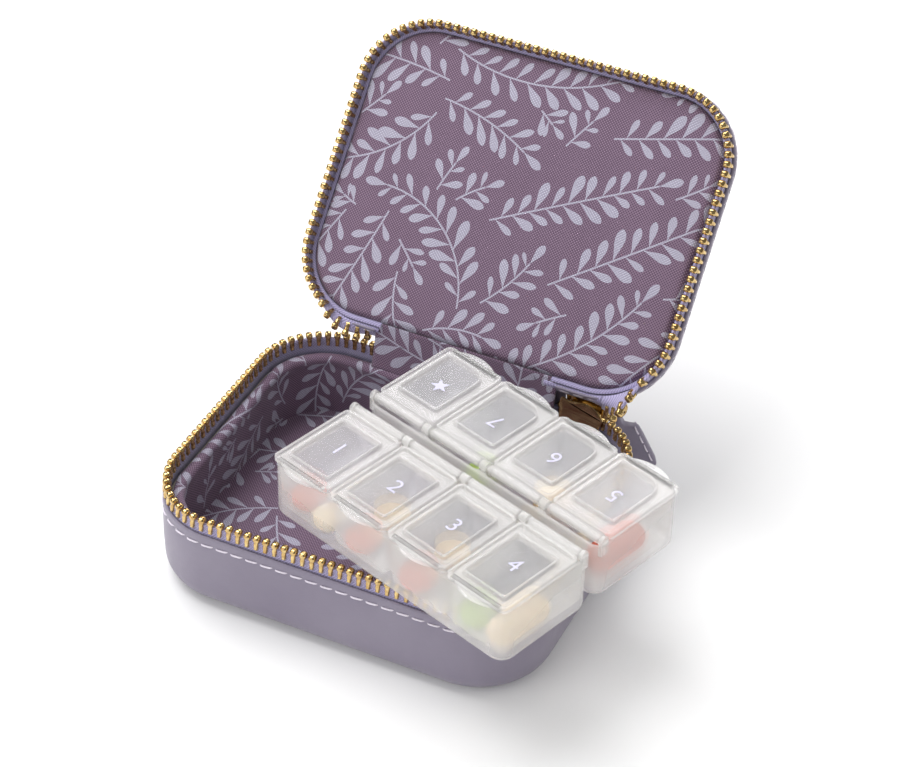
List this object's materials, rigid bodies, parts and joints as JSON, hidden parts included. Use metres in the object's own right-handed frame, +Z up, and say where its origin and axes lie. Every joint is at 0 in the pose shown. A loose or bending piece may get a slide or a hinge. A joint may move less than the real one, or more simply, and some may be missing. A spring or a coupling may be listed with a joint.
{
  "type": "travel pill organizer",
  "caption": "Small zipped travel case with a lined cavity and hinged lid, holding a translucent pill box with separately lidded compartments in two rows.",
  "frame": {"origin": "centre of the case's underside", "axes": "+Z up, +X to the right along the hinge side, +Y from the front towards the hinge"},
  "size_m": [0.1231, 0.149, 0.095],
  "materials": {
    "leather": "satin smooth leather",
    "board": "stiff board, hidden",
    "lining": "woven plum fabric with pale printed sprigs",
    "tape": "lilac woven zip tape",
    "zip_metal": "polished gold-coloured metal",
    "thread": "pale sewing thread",
    "tray_plastic": "milky translucent polypropylene",
    "flap_plastic": "milky translucent polypropylene with a clearer window",
    "tablet_coral": "matte pressed tablet",
    "tablet_cream": "matte pressed tablet",
    "tablet_green": "matte pressed tablet"
  },
  "bodies": {
    "base": {"base_cover": "leather", "base_board": "board", "wall_lining": "lining", "floor_lining": "lining", "base_tape": "tape", "base_teeth": "zip_metal", "base_stitching": "thread", "hinge_leather": "leather", "hinge_lining": "lining"},
    "lid": {"lid_cover": "leather", "lid_board": "board", "lid_lining": "lining", "lid_tape": "tape", "lid_teeth": "zip_metal", "lid_stitching": "thread"},
    "slider": {"slider_body": "zip_metal", "slider_bridge": "zip_metal"},
    "ring": {"pull_ring": "zip_metal"},
    "tab": {"pull_tab": "leather", "tab_stitching": "thread"},
    "pill_box": {"tray_near": "tray_plastic", "tray_far": "tray_plastic", "tablets_coral": "tablet_coral", "tablets_cream": "tablet_cream", "tablet_green": "tablet_green", "caplet_cream": "tablet_cream", "caplet_coral": "tablet_coral"},
    "flap_near_1": {"flap_near_1": "flap_plastic"},
    "flap_far_1": {"flap_far_1": "flap_plastic"},
    "flap_near_2": {"flap_near_2": "flap_plastic"},
    "flap_far_2": {"flap_far_2": "flap_plastic"},
    "flap_near_3": {"flap_near_3": "flap_plastic"},
    "flap_far_3": {"flap_far_3": "flap_plastic"},
    "flap_near_4": {"flap_near_4": "flap_plastic"},
    "flap_far_4": {"flap_far_4": "flap_plastic"}
  },
  "joints": [
    {"name": "lid_hinge", "type": "hinge", "parent": "base", "child": "lid", "pos_m": [0, 0.0391, 0.0336], "axis": [-1, 0, 0], "range_deg": [-133, 0], "deforming": ["hinge_leather", "hinge_lining"]},
    {"name": "box_removal", "type": "slide", "parent": "base", "child": "pill_box", "axis": [0.9478, -0.319, 0], "range_m": [0, 0.095]},
    {"name": "slider_travel", "type": "hinge", "parent": "base", "child": "slider", "pos_m": [0.032, 0.0215, 0.026], "axis": [0, 0, -1], "range_deg": [0, 60]},
    {"name": "ring_swing", "type": "hinge", "parent": "slider", "child": "ring", "pos_m": [0.0343, 0.04242, 0.0271], "axis": [0, 0, 1], "range_deg": [-12, 18]},
    {"name": "tab_swing", "type": "hinge", "parent": "ring", "child": "tab", "pos_m": [0.03892, 0.04428, 0.02393], "axis": [0.8403, 0.3395, 0.4226], "range_deg": [-4, 35]},
    {"name": "flap_near_1_hinge", "type": "hinge", "parent": "pill_box", "child": "flap_near_1", "pos_m": [-0.00155, -0.00762, 0.04475], "axis": [-0.9478, 0.319, 0], "range_deg": [0, 88]},
    {"name": "flap_far_1_hinge", "type": "hinge", "parent": "pill_box", "child": "flap_far_1", "pos_m": [0.00062, -0.00117, 0.04475], "axis": [0.9478, -0.319, 0], "range_deg": [0, 88]},
    {"name": "flap_near_2_hinge", "type": "hinge", "parent": "pill_box", "child": "flap_near_2", "pos_m": [0.0163, -0.01362, 0.04475], "axis": [-0.9478, 0.319, 0], "range_deg": [0, 88]},
    {"name": "flap_far_2_hinge", "type": "hinge", "parent": "pill_box", "child": "flap_far_2", "pos_m": [0.01846, -0.00717, 0.04475], "axis": [0.9478, -0.319, 0], "range_deg": [0, 88]},
    {"name": "flap_near_3_hinge", "type": "hinge", "parent": "pill_box", "child": "flap_near_3", "pos_m": [0.03414, -0.01963, 0.04475], "axis": [-0.9478, 0.319, 0], "range_deg": [0, 88]},
    {"name": "flap_far_3_hinge", "type": "hinge", "parent": "pill_box", "child": "flap_far_3", "pos_m": [0.0363, -0.01318, 0.04475], "axis": [0.9478, -0.319, 0], "range_deg": [0, 88]},
    {"name": "flap_near_4_hinge", "type": "hinge", "parent": "pill_box", "child": "flap_near_4", "pos_m": [0.05198, -0.02563, 0.04475], "axis": [-0.9478, 0.319, 0], "range_deg": [0, 88]},
    {"name": "flap_far_4_hinge", "type": "hinge", "parent": "pill_box", "child": "flap_far_4", "pos_m": [0.05415, -0.01918, 0.04475], "axis": [0.9478, -0.319, 0], "range_deg": [0, 88]}
  ],
  "couplings": [
    {"joint": "lid_hinge", "follows": "box_removal", "rad_per_m": -24.435}
  ]
}
